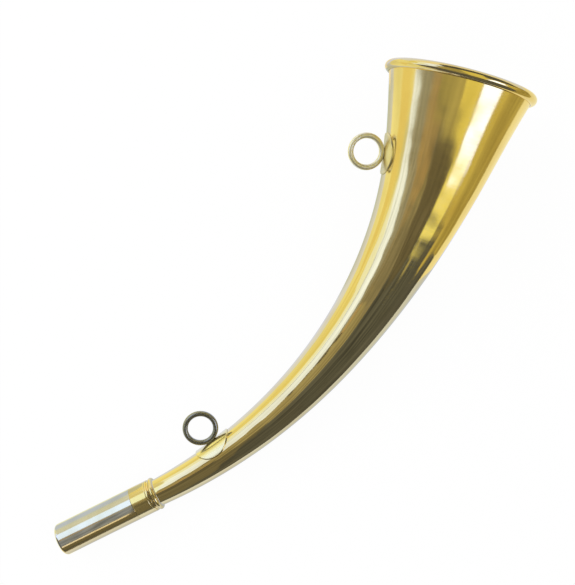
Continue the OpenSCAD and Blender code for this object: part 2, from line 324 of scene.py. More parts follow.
@dataclass(frozen=True)
class Finish:
    """A metal surface: its colour, its tarnish and the marks of its making.

    Lengths are in millimetres. Lines run across the first axis of the coordinates, ripples are
    the soft dents of hammered and bent sheet, and streaks are drawn out along the first axis. The
    lines of a polishing mop are really some 0.05 mm apart, which is too fine to show, so they are
    drawn coarser. Those of a lathe are 0.12 mm apart, as its tool moves on at each turn.
    """

    name: str
    tint: str
    tarnish: str
    tarnish_share: float = 0.25
    tarnish_spot: float = 18.0
    polish: float = 0.03
    haze: float = 0.05
    line_pitch: float = 0.35  # really some 0.05: coarser, so that it shows
    line_length: float = 9.0
    line_depth: float = 0.0006
    ripple: float = 14.0
    ripple_depth: float = 0.03
    streak_pitch: float = 2.5
    streak_length: float = 70.0
    streak_depth: float = 0.008
    worn: str = ""
    worn_edge: float = 1.2
    bell_haze: float = 0.0
    bell_from: float = 95.0
    bell_to: float = 180.0
    mapped: Mapped = Mapped.OBJECT

    def coordinates(self, tree: bpy.types.NodeTree) -> bpy.types.NodeSocket:
        """Gives the coordinates that the patterns follow.

        Args:
            tree: The node tree.

        Returns:
            Coordinates in metres, straight along the tube or the object's own.
        """
        if self.mapped is Mapped.TUBE:
            return add_node(tree, "ShaderNodeAttribute", {"attribute_name": STRAIGHT}).outputs["Vector"]
        return add_node(tree, "ShaderNodeTexCoord").outputs["Object"]

    def pattern(self, tree: bpy.types.NodeTree, place: bpy.types.NodeSocket, size: Sequence[float],
                detail: float) -> bpy.types.NodeSocket:
        """Scatters spots, lines or waves of a real size over the surface.

        Args:
            tree: The node tree.
            place: Coordinates in metres.
            size: Their size along each axis, in millimetres.
            detail: How many times they are broken up more finely.

        Returns:
            The pattern, from 0 to 1.
        """
        stretch = add_node(tree, "ShaderNodeMapping", {"Scale": [1 / (MM * s) for s in size]},
                           {"Vector": place})
        return add_node(tree, "ShaderNodeTexNoise", {"Scale": 1.0, "Detail": detail},
                        {"Vector": stretch.outputs[0]}).outputs["Fac"]

    def worn_through(self, tree: bpy.types.NodeTree, place: bpy.types.NodeSocket,
                     streaks: bpy.types.NodeSocket, colour: bpy.types.Node) -> bpy.types.Node:
        """Shows the metal under the plate on one side, with a ragged border.

        Args:
            tree: The node tree.
            place: Coordinates in metres.
            streaks: Pattern that makes the border ragged.
            colour: Mix node of the plate's own colour.

        Returns:
            The mix node of both metals.
        """
        side = add_node(tree, "ShaderNodeSeparateXYZ", {}, {0: place})
        ragged = add_node(tree, "ShaderNodeMath", {"operation": "MULTIPLY_ADD", 1: -2 * self.worn_edge * MM},
                          {0: streaks, 2: side.outputs["Y"]})
        bare = add_node(tree, "ShaderNodeMapRange",
                        {"From Min": -self.worn_edge * MM, "From Max": -2 * self.worn_edge * MM},
                        {"Value": ragged.outputs[0]})
        return add_node(tree, "ShaderNodeMix", {"data_type": "RGBA", 7: linear(self.worn)},
                        {0: bare.outputs[0], 6: colour.outputs[2]})

    def duller_bell(self, tree: bpy.types.NodeTree, place: bpy.types.NodeSocket,
                    rough: bpy.types.Node) -> bpy.types.Node:
        """Makes the surface duller towards the bell.

        Args:
            tree: The node tree.
            place: Coordinates in metres, with X along the tube.
            rough: Node of the roughness so far.

        Returns:
            The node of the whole roughness.
        """
        station = add_node(tree, "ShaderNodeSeparateXYZ", {}, {0: place})
        more = add_node(tree, "ShaderNodeMapRange",
                        {"From Min": self.bell_from * MM, "From Max": self.bell_to * MM,
                         "To Max": self.bell_haze}, {"Value": station.outputs["X"]})
        return add_node(tree, "ShaderNodeMath", {"operation": "ADD"},
                        {0: rough.outputs[0], 1: more.outputs[0]})

    def material(self) -> bpy.types.Material:
        """Builds the material once and gives it again to later pieces.

        Returns:
            The material.
        """
        made = bpy.data.materials.get(self.name)
        if made:
            return made
        made = bpy.data.materials.new(self.name)
        made.use_nodes = True
        tree = made.node_tree
        shader = tree.nodes["Principled BSDF"]
        shader.inputs["Metallic"].default_value = 1.0
        place = self.coordinates(tree)
        spots = self.pattern(tree, place, [self.tarnish_spot] * 3, detail=5.0)
        lines = self.pattern(tree, place, (self.line_pitch, self.line_length, self.line_length), detail=2.0)
        waves = self.pattern(tree, place, [self.ripple] * 3, detail=1.0)
        streaks = self.pattern(tree, place, (self.streak_length, self.streak_pitch, self.streak_pitch),
                               detail=1.0)
        share = add_node(tree, "ShaderNodeMapRange",
                         {"From Min": SPOT_SPAN[0], "From Max": SPOT_SPAN[1], "To Max": self.tarnish_share},
                         {"Value": spots})
        colour = add_node(tree, "ShaderNodeMix",
                          {"data_type": "RGBA", 6: linear(self.tint), 7: linear(self.tarnish)},
                          {0: share.outputs[0]})
        if self.worn:
            colour = self.worn_through(tree, place, streaks, colour)
        rough = add_node(tree, "ShaderNodeMapRange",
                         {"From Min": LINE_SPAN[0], "From Max": LINE_SPAN[1], "To Min": self.polish,
                          "To Max": self.polish + self.haze}, {"Value": lines})
        if self.bell_haze:
            rough = self.duller_bell(tree, place, rough)
        wavy = add_node(tree, "ShaderNodeBump", {"Distance": self.ripple_depth * MM}, {"Height": waves})
        streaked = add_node(tree, "ShaderNodeBump", {"Distance": self.streak_depth * MM},
                            {"Height": streaks, "Normal": wavy.outputs[0]})
        lined = add_node(tree, "ShaderNodeBump", {"Distance": self.line_depth * MM},
                         {"Height": lines, "Normal": streaked.outputs[0]})
        tree.links.new(colour.outputs[2], shader.inputs["Base Color"])
        tree.links.new(rough.outputs[0], shader.inputs["Roughness"])
        tree.links.new(lined.outputs[0], shader.inputs["Normal"])
        return made


# Sheet brass, brazed, bent and buffed: a deep yellow mirror, duller at the bell, softly dented
SHEET_BRASS = Finish("polished_sheet_brass", "#EED68E", "#C9A356", ripple=15.0, ripple_depth=0.2,
                     bell_haze=0.075, mapped=Mapped.TUBE)
# Inside of the sheet tube, which no mop reaches: dull brass, browned by breath and polish residue
INSIDE_BRASS = Finish("unpolished_inside_brass", "#EDCF8A", "#BE9650", tarnish_share=0.6,
                      tarnish_spot=22.0, polish=0.46, haze=0.12, line_pitch=0.5, line_depth=0.0003,
                      mapped=Mapped.TUBE)
# Slit brass tube of the rim, buffed along with the bell: a little softer and browner than the sheet
BEAD_BRASS = Finish("buffed_bead_brass", "#E9D18A", "#A98945", tarnish_share=0.4, polish=0.1,
                    mapped=Mapped.TUBE)
# Brass turned on a lathe: a near mirror with fine even lines round the axis
TURNED_BRASS = Finish("lathe_turned_brass", "#EED488", "#B08A42", polish=0.11, line_pitch=0.12,
                      line_depth=0.0001, ripple_depth=0.004, streak_depth=0.001, mapped=Mapped.TUBE)
# Sheet disc of the lower eye, filed flat and buffed with the tube: a soft golden mirror, tinted a little
# lighter than the upper disc as painted light
BUFFED_PLATE = Finish("buffed_plate_brass", "#F3DF98", "#CDB36C", polish=0.17, line_depth=0.0001,
                      streak_depth=0.002, mapped=Mapped.TUBE)
# Sheet disc of the upper eye, filed flat and left satin: an even cream-gold, tinted a little darker than the
# lower disc as painted shade
SATIN_PLATE = Finish("satin_plate_brass", "#EBDA9E", "#BAA262", polish=0.33, haze=0.06,
                     line_depth=0.0001, streak_depth=0.002, mapped=Mapped.TUBE)
# Drawn wire that hands have kept bright but soft
UPPER_WIRE = Finish("drawn_wire_brass", "#F8EDC2", "#C8B680", tarnish_share=0.3, tarnish_spot=5.0,
                    polish=0.42, haze=0.08)
# The same wire in a darker, greyer colour than the upper ring's, which takes the yellow out of it
LOWER_WIRE = Finish("tarnished_wire_brass", "#A09A7C", "#7E785C", tarnish_share=0.4, tarnish_spot=5.0,
                    polish=0.3, haze=0.08)
# Nickel plate on brass tube, buffed along its length and worn through on the side of the thumb:
# a warm white mirror with a brass-yellow side
NICKEL_PLATE = Finish("worn_nickel_plate", "#E4DCC6", "#C9BE98", tarnish_share=0.5, tarnish_spot=9.0,
                      polish=0.09, line_pitch=0.25, line_depth=0.0001, ripple_depth=0.003,
                      streak_depth=0.0015, worn="#E6CC84", mapped=Mapped.TUBE)
# Filed brass of the reed: satin, and slightly browned by breath
REED_BRASS = Finish("filed_reed_brass", "#CDAF68", "#8C6A36", tarnish_share=0.5, tarnish_spot=4.0,
                    polish=0.3, haze=0.15, line_pitch=0.15)
# Turned brass of the plug and clamp: browner than the collar, for no mop reaches it
TURNED_REED = Finish("browned_turned_brass", "#C6A65E", "#7D5F30", tarnish_share=0.5, tarnish_spot=4.0,
                     polish=0.22, haze=0.12, line_pitch=0.12)
# Soft solder: a dull grey, smooth fillet
SOLDER = Finish("soft_solder", "#D2C8A4", "#A39A78", tarnish_spot=2.0, polish=0.3, haze=0.12,
                ripple_depth=0.01)


# The horn


@dataclass
class Placement:
    """Takes the horn's own frame, in millimetres, to the row frame, in metres.

    The horn's own frame has the throat at its origin, the mouthpiece along -X and the bend in XY
    towards +Y. It follows from the mouthpiece's and a ring's mount in the record.
    """

    mount_at: float

    def matrix(self) -> Matrix:
        """Works out the placement from the record's mounts.

        Returns:
            The placement.
        """
        mounts = {m["name"]: m for m in frame["record"]["mounts"]}
        end, eye = mounts["mouthpiece_end"], mounts["lower_cord_eye"]
        ahead = -Vector(end["axis"]).normalized()
        side = Vector(eye["axis"]).normalized().cross(ahead).normalized()
        out = ahead.cross(side)
        turn = Matrix((ahead, side, out)).transposed()
        origin = Vector(end["pos_m"]) - turn @ Vector((self.mount_at * MM, 0, 0))
        return Matrix.Translation(origin) @ (turn * MM).to_4x4()


@dataclass
class Curve:
    """Centreline and outside of the horn's tube, in millimetres and radians."""

    throat_d: float = 10.1
    bell_d: float = 51.6
    taper: float = 0.088
    flare_power: float = 3.57
    lower_bend_r: float = 191.0
    lower_bend_len: float = 85.0
    upper_bend_r: float = 208.0
    upper_bend_len: float = 85.5
    bell_len: float = 21.2
    ease_len: float = 30.0
    step: float = 0.25
    beyond_bell: float = 12.0

    def __post_init__(self) -> None:
        """Works out what follows from the driving sizes, and walks along the centreline."""
        self.bend_end = self.lower_bend_len + self.upper_bend_len
        self.length = self.bend_end + self.bell_len
        self.throat_r = self.throat_d / 2
        self.flare = self.bell_d / 2 - self.throat_r - self.taper / 2 * self.length
        self.stations = self.walk()

    def curvature(self, s: float) -> float:
        """Works out how the centreline bends, which eases out before the bell.

        Args:
            s: Distance from the throat.

        Returns:
            The bend for each millimetre.
        """
        if s < 0:
            return 0.0
        if s < self.lower_bend_len:
            return 1 / self.lower_bend_r
        into = min(1.0, max(0.0, (s - self.bend_end) / self.ease_len + 0.5))
        return (1 - into * into * (3 - 2 * into)) / self.upper_bend_r

    def walk(self) -> list[tuple[float, Vector]]:
        """Follows the centreline from the throat in short steps.

        Returns:
            The angle and place at each step.
        """
        angle, place = 0.0, Vector((0, 0, 0))
        stations = [(angle, place.copy())]
        while len(stations) * self.step < self.length + self.beyond_bell:
            turn = self.curvature((len(stations) - 0.5) * self.step) * self.step
            place += self.step * along(angle + turn / 2)
            angle += turn
            stations.append((angle, place.copy()))
        return stations

    def angle(self, s: float) -> float:
        """Works out the direction of the centreline.

        Args:
            s: Distance from the throat.

        Returns:
            The angle in the plane of the bend.
        """
        if s < 0:
            return 0.0
        i, share = divmod(s / self.step, 1)
        before, after = self.stations[int(i)][0], self.stations[int(i) + 1][0]
        return before + (after - before) * share

    def point(self, s: float) -> Vector:
        """Finds a point of the centreline.

        Args:
            s: Distance from the throat.

        Returns:
            The point.
        """
        if s < 0:
            return Vector((s, 0, 0))
        i, share = divmod(s / self.step, 1)
        return self.stations[int(i)][1].lerp(self.stations[int(i) + 1][1], share)

    def radius(self, s: float) -> float:
        """Works out the outside radius: a plain cone and a flare that grows towards the bell.

        Args:
            s: Distance from the throat.

        Returns:
            The radius.
        """
        if s < 0:
            return self.throat_r
        return self.throat_r + self.taper / 2 * s + self.flare * (s / self.length) ** self.flare_power

    def slope(self, s: float) -> float:
        """Works out how steeply the outside opens.

        Args:
            s: Distance from the throat.

        Returns:
            The angle between the outside and the centreline.
        """
        if s < 0:
            return 0.0
        growth = self.flare * self.flare_power / self.length * (s / self.length) ** (self.flare_power - 1)
        return math.atan(self.taper / 2 + growth)

    def section(self, s: float, lift: float) -> tuple[float, float]:
        """Gives the distance and radius of a point that is lifted off the outside."""
        b = self.slope(s)
        return s - lift * math.sin(b), self.radius(s) + lift * math.cos(b)

    def bent(self, straight: Vector) -> Vector:
        """Takes a point of the straight tube, along X, to its place on the bent one."""
        side = across(self.angle(straight.x)) * straight.y
        return self.point(straight.x) + side + Vector((0, 0, straight.z))


def along(a: float) -> Vector:
    """Gives the direction at an angle in the plane of the bend."""
    return Vector((math.cos(a), math.sin(a), 0))


def across(a: float) -> Vector:
    """Gives the direction at right angles to an angle in the plane of the bend."""
    return Vector((-math.sin(a), math.cos(a), 0))


@dataclass
class Tube:
    """The horn's sheet tube and its rim bead, in millimetres and degrees."""

    curve: Curve
    placement: Matrix
    sheet_t: float = 0.5
    seat_len: float = 7.5
    outside_steps: int = 250
    inside_steps: int = 110
    sides: int = 168
    bead_d: float = 3.4
    bead_wall: float = 0.6
    bead_steps: int = 60
    bead_bore_steps: int = 30
    bead_sides: int = 200
    broken: float = 0.08
    sharper_than: float = 50.0
    solder_t: float = 0.06

    def skin(self, lift: float, steps: int) -> Outline:
        """Draws one side of the sheet, from its seat in the collar to the bell.

        Args:
            lift: Distance of this side off the outside.
            steps: Chords along the tube.

        Returns:
            The side, not closed.
        """
        curve = self.curve
        seat = (-self.seat_len, curve.throat_r + lift)
        return [seat] + [curve.section(curve.length * i / steps, lift) for i in range(steps + 1)]

    def body(self) -> None:
        """Spins the tapered tube straight and then bends it."""
        outside = self.skin(0, self.outside_steps)
        inside = self.skin(-self.sheet_t, self.inside_steps)
        bm = spun(outside + inside[::-1], ALONG_TUBE, self.sides)
        remember_straight(bm)
        moved(bm, self.curve.bent)
        tube = fitted(finished("horn_tube", bm, self.placement), HORN_BODY, "polished_brass",
                      SHEET_BRASS, "horn_body")
        self.leave_inside_dull(tube)

    def leave_inside_dull(self, tube: bpy.types.Object) -> None:
        """Gives the faces of the inside their own finish.

        Args:
            tube: The sheet tube.
        """
        tube.data.materials.append(INSIDE_BRASS.material())
        straight = tube.data.attributes[STRAIGHT].data
        for face in tube.data.polygons:
            corners = [straight[i].vector / MM for i in face.vertices]
            depth = min(self.curve.radius(c.x) - math.hypot(c.y, c.z) for c in corners)
            face.material_index = int(depth > self.sheet_t / 2)

    def rim(self) -> None:
        """Bends a slit tube round the edge of the bell."""
        curve = self.curve
        middle = curve.section(curve.length, -self.sheet_t / 2)
        half_slit = self.sheet_t / 2 + self.solder_t
        outer, inner = self.bead_d / 2, self.bead_d / 2 - self.bead_wall
        back = 180 + math.degrees(curve.slope(curve.length))
        out_gap = math.degrees(math.asin(half_slit / outer))
        in_gap = math.degrees(math.asin(half_slit / inner))
        outline = arc(middle, outer, back + out_gap, back + 360 - out_gap, self.bead_steps)
        outline += arc(middle, inner, back + 360 - in_gap, back + in_gap, self.bead_bore_steps)
        bm = spun(outline, ALONG_TUBE, self.bead_sides)
        soften(bm, self.broken, self.sharper_than)
        remember_straight(bm)
        moved(bm, curve.bent)
        fitted(finished("rim_bead_tube", bm, self.placement), HORN_BODY, "polished_brass",
               BEAD_BRASS, "rim_bead")

    def build(self) -> None:
        """Builds the tube and its bead."""
        self.body()
        self.rim()


class Eye(Enum):
    """The two cord eyes, by their distance from the collar in millimetres."""

    LOWER = 27.7
    UPPER = 160.6


@dataclass
class CordEye:
    """A wire ring soldered to a saddle plate on the inner side of the bend.

    Lengths are in millimetres and angles in degrees. The plate's filed edge leans in: its corner
    lies at share_in of its inset and share_up of its thickness, and its rounding has its middle
    share_back of edge_r inwards and starts at edge_from.
    """

    curve: Curve
    placement: Matrix
    eye: Eye
    ring_d: float = 13.2
    wire_d: float = 2.0
    wire_steps: int = 24
    ring_sides: int = 128
    filed: float = 0.3
    plate_d: float = 14.8
    plate_t: float = 0.5
    plate_steps: int = 28
    plate_sides: int = 112
    edge_r: float = 0.16
    edge_from: float = 20.0
    edge_steps: int = 4
    share_in: float = 0.35
    share_up: float = 0.45
    share_back: float = 0.4
    solder_t: float = Tube.solder_t
    fillet_h: float = 0.45
    fillet_len: float = 2.1
    fillet_w: float = 0.95
    fillet_steps: int = 8
    fillet_sides: int = 48

    def name(self) -> str:
        """Gives the name of this eye, in small letters."""
        return self.eye.name.lower()

    def saddled(self, flat: Vector) -> Vector:
        """Bends a point over the tube.

        Args:
            flat: Distance along the tube, lift and distance round it, from the plate's middle.

        Returns:
            Its place on the horn.
        """
        place = self.eye.value
        closing = 1 - self.curve.radius(place) * self.curve.curvature(place)
        span = math.cos(self.curve.slope(place)) / closing
        s = place + flat.x * span
        at, r = self.curve.section(s, flat.y)
        turn = flat.z / self.curve.radius(s)
        return self.curve.bent(Vector((at, r * math.cos(turn), r * math.sin(turn))))

    def plate(self) -> None:
        """Spins a thin disc with a rounded edge and bends it over the tube."""
        low, high = self.solder_t, self.solder_t + self.plate_t
        rim, inset = self.plate_d / 2, self.plate_t / 2
        flat_r = rim - inset - self.edge_r
        runs = range(1, self.plate_steps)
        outline = [(0, low)] + [(rim * i / self.plate_steps, low) for i in runs]
        outline += [(rim, low), (rim - inset * self.share_in, low + self.plate_t * self.share_up)]
        outline += arc((rim - inset - self.edge_r * self.share_back, high - self.edge_r), self.edge_r,
                       self.edge_from, 90, self.edge_steps)
        outline += [(flat_r * (1 - i / self.plate_steps), high) for i in runs] + [(0, high)]
        bm = spun(outline, OFF_TUBE, self.plate_sides)
        remember_straight(bm)
        moved(bm, self.saddled)
        finish = BUFFED_PLATE if self.eye is Eye.LOWER else SATIN_PLATE
        fitted(finished(f"{self.name()}_saddle_plate", bm, self.placement), HORN_BODY, "polished_brass",
               finish, f"{self.name()}_ring_plate")

    def ring(self) -> None:
        """Bends a wire ring and files its foot flat."""
        place = self.eye.value
        lean = self.curve.angle(place) + self.curve.slope(place)
        at, r = self.curve.section(place, 2 * self.solder_t + self.plate_t)
        foot = self.curve.bent(Vector((at, r, 0)))
        middle = foot + across(lean) * (self.ring_d / 2 - self.filed)
        wire_r = self.wire_d / 2
        wire = arc((self.ring_d / 2 - wire_r, 0), wire_r, 0, 360 - 360 / self.wire_steps,
                   self.wire_steps - 1)
        bm = spun(wire, OFF_TUBE, self.ring_sides)
        bmesh.ops.rotate(bm, verts=bm.verts, cent=(0, 0, 0), matrix=Matrix.Rotation(math.pi / 2, 3, "X"))
        bmesh.ops.translate(bm, verts=bm.verts, vec=middle)
        whole = list(bm.verts) + list(bm.edges) + list(bm.faces)
        cut = bmesh.ops.bisect_plane(bm, geom=whole, dist=1e-5, plane_co=foot, plane_no=-across(lean),
                                     clear_outer=True)
        opened = [e for e in cut["geom_cut"] if isinstance(e, bmesh.types.BMEdge)]
        bmesh.ops.holes_fill(bm, edges=opened, sides=0)
        bmesh.ops.recalc_face_normals(bm, faces=bm.faces)
        finish = LOWER_WIRE if self.eye is Eye.LOWER else UPPER_WIRE
        fitted(finished(f"{self.name()}_cord_ring", bm, self.placement), HORN_BODY, "ring_brass",
               finish, f"{self.name()}_ring")

    def fillet(self) -> None:
        """Draws the solder up round the ring's foot."""
        base = self.solder_t + self.plate_t
        section = solder_section(base, self.fillet_w, self.fillet_h, self.fillet_steps)
        bm = spun(section, OFF_TUBE, self.fillet_sides)
        bmesh.ops.scale(bm, vec=(self.fillet_len / self.fillet_w, 1, 1), verts=bm.verts)
        remember_straight(bm)
        moved(bm, self.saddled)
        fitted(finished(f"{self.name()}_ring_solder", bm, self.placement, SOLDER_CREASE), HORN_BODY,
               "ring_brass", SOLDER)

    def build(self) -> None:
        """Builds the plate, the ring and its solder."""
        self.plate()
        self.ring()
        self.fillet()


@dataclass
class Collar:
    """The turned collar: a bead, a groove, a band and the spigot inside the mouthpiece.

    Lengths are in millimetres and angles in degrees. The groove's floor stops groove_gap short of
    the bead, and the solder of the seam starts seam_sink inside the socket.
    """

    curve: Curve
    placement: Matrix
    length: float = 9.2
    bead_d: float = 12.4
    bead_w: float = 1.6
    bead_steps: int = 20
    groove_w: float = 0.6
    groove_depth: float = 0.4
    groove_gap: float = 0.02
    line_at: float = 0.9
    line_depth: float = 0.1
    seat_len: float = Tube.seat_len
    spigot_len: float = 12.0
    spigot_r: float = 5.37
    reed_bore_d: float = 8.4
    band_d: float = 12.0
    broken: float = 0.12
    sharper_than: float = 40.0
    sides: int = 128
    solder_t: float = Tube.solder_t
    seam_rise: float = 0.42
    seam_reach: float = 0.5
    seam_sink: float = 0.05
    seam_steps: int = 6

    def collar(self) -> None:
        """Turns the collar from its outline."""
        band_r, bead_r, bore_r = self.band_d / 2, self.bead_w / 2, self.reed_bore_d / 2
        end = -self.length - self.spigot_len
        floor = band_r - self.groove_depth
        band_end = -self.bead_w - self.groove_w
        line = band_end - self.line_at
        socket = self.curve.throat_r + self.solder_t
        outline = [(end, bore_r), (end, self.spigot_r)]
        outline += [(-self.length, self.spigot_r), (-self.length, band_r)]
        outline += [(line - self.line_depth, band_r), (line, band_r - self.line_depth),
                    (line + self.line_depth, band_r)]
        outline += [(band_end, band_r), (band_end, floor), (-self.bead_w - self.groove_gap, floor)]
        outline += arc((-bead_r, self.bead_d / 2 - bead_r), bead_r, 180, 0, self.bead_steps)
        outline += [(0, socket), (-self.seat_len, socket), (-self.seat_len, bore_r)]
        bm = spun(steadied(outline, 2 * self.broken), ALONG_TUBE, self.sides)
        soften(bm, self.broken, self.sharper_than)
        remember_straight(bm)
        fitted(finished("turned_collar", bm, self.placement), HORN_BODY, "turned_brass",
               TURNED_BRASS, "collar")

    def seam(self) -> None:
        """Runs a thin fillet of solder round the throat."""
        section = solder_section(self.curve.throat_r, self.seam_reach, self.seam_rise, self.seam_steps)
        bm = spun(section, ALONG_TUBE, self.sides)
        moved(bm, lambda p: self.curve.bent(Vector((p.x - self.seam_sink, p.y, p.z))))
        fitted(finished("throat_solder", bm, self.placement, SOLDER_CREASE), HORN_BODY,
               "turned_brass", SOLDER)

    def build(self) -> None:
        """Builds the collar and its seam."""
        self.collar()
        self.seam()


@dataclass
class Mouthpiece:
    """The plated tube that goes between the lips, in millimetres and degrees."""

    placement: Matrix
    start: float = -Collar.length
    length: float = 30.9
    outside_d: float = 12.0
    wall: float = 0.6
    lip_r: float = 1.0
    lip_steps: int = 14
    lip_bore_steps: int = 8
    butt_gap: float = 0.02
    runs: int = 40
    steady: float = 0.14
    broken: float = 0.06
    sharper_than: float = 50.0
    sides: int = 160

    @classmethod
    def mount_at(cls) -> float:
        """Finds the middle of the plain tube that the record's mount states.

        Returns:
            Its place along X: halfway between the rounded lip and the collar's groove.
        """
        lip_end = cls.start - cls.length + cls.lip_r
        groove = -Collar.bead_w - Collar.groove_w
        return (lip_end + groove) / 2

    def build(self) -> None:
        """Spins the tube with its mouth end rolled in."""
        outer = self.outside_d / 2
        end = self.start - self.length
        back = self.start - self.butt_gap
        centre = (end + self.lip_r, outer - self.lip_r)
        outline = [(back + (centre[0] - back) * i / self.runs, outer) for i in range(self.runs)]
        outline += arc(centre, self.lip_r, 90, 180, self.lip_steps)
        outline += arc(centre, self.lip_r - self.wall, 180, 90, self.lip_bore_steps)
        outline += [(back, outer - self.wall)]
        bm = spun(steadied(outline, self.steady), ALONG_TUBE, self.sides)
        soften(bm, self.broken, self.sharper_than)
        remember_straight(bm)
        fitted(finished("plated_tube", bm, self.placement), MOUTHPIECE_BODY, "nickel_plate",
               NICKEL_PLATE, "mouthpiece_tube")


@dataclass
class Reed:
    """The reed inside the mouthpiece, whose solids are dressed as they are."""

    turned: tuple[str, ...] = ("reed_plug", "reed_clamp")
    filed: tuple[str, ...] = ("reed_shallot", "reed_tongue")

    def build(self) -> None:
        """Gives each solid of the reed its finish."""
        for node in self.turned + self.filed:
            finish = TURNED_REED if node in self.turned else REED_BRASS
            dressed(frame["nodes"][node], finish)
            log.info("%s: dressed with %s", node, finish.name)


# The table, the room and the camera


@dataclass(frozen=True)
class Camera:
    """The photograph's viewpoint, in millimetres in the row frame.

    Its aim is where its axis meets the table.
    """

    place: tuple[float, float, float] = (4.384, -16.776, 313.755)
    right: tuple[float, float, float] = (0.66267, -0.74766, -0.04329)
    upwards: tuple[float, float, float] = (0.74875, 0.66022, 0.05896)
    aim: tuple[float, float, float] = (9.261, 5.712, 0.0)
    focal_px: float = 819.28
    image_h: int = 585
    film: float = 36.0
    nearest: float = 10.0

    def build(self) -> None:
        """Sets the scene's camera."""
        data = bpy.data.cameras.new("camera")
        data.sensor_width = self.film
        data.lens = self.focal_px * self.film / self.image_h
        data.clip_start = self.nearest * MM
        camera = linked(data.name, data)
        right, up = Vector(self.right).normalized(), Vector(self.upwards).normalized()
        turn = Matrix((right, up, right.cross(up))).transposed().to_4x4()
        camera.matrix_world = Matrix.Translation(Vector(self.place) * MM) @ turn
        bpy.context.scene.camera = camera


@dataclass(frozen=True)
class Glow:
    """Light of a card that only reflections see.

    Its edge fades over a soft width, and its strength varies by its mottle, in spots as large as
    its grain. Lengths are in millimetres.
    """

    name: str
    tint: str
    strength: float
    _: KW_ONLY
    soft: float = 0.0
    mottle: float = 0.0
    grain: float = 100.0


@dataclass(frozen=True)
class Card(Glow):
    """A flat card over the table, with corners to the right and up as the camera sees it."""

    height: float
    corners: tuple[tuple[float, float], ...]

    def points(self) -> list[tuple[float, float, float]]:
        """Gives its corners in space."""
        return [(x, y, self.height) for x, y in self.corners]


@dataclass(frozen=True)
class Wall(Glow):
    """An upright card between two places on the table."""

    start: tuple[float, float]
    end: tuple[float, float]
    bottom: float
    top: float

    def points(self) -> list[tuple[float, float, float]]:
        """Gives its corners in space."""
        low, high = self.bottom, self.top
        return [(*self.start, low), (*self.end, low), (*self.end, high), (*self.start, high)]


class Side(Enum):
    """The two sides of the bend."""

    INNER = 1
    OUTER = -1


@dataclass(frozen=True)
class FootCard(Glow):
    """A strip along the foot of the horn, on one side.

    It runs between two distances from the collar. Its shares of the tube's radius, each with the
    strip's strength there, say how far it reaches, and it fades in over its first and last steps.
    """

    height: float
    side: Side
    start: float
    end: float
    shares: tuple[tuple[float, float], ...] = ((0.0, 0.95), (0.8, 0.9), (1.15, 0.75), (1.5, 0.3), (2.0, 0.0))
    least_r: float = 6.0
    steps: int = 60
    ramp: int = 6


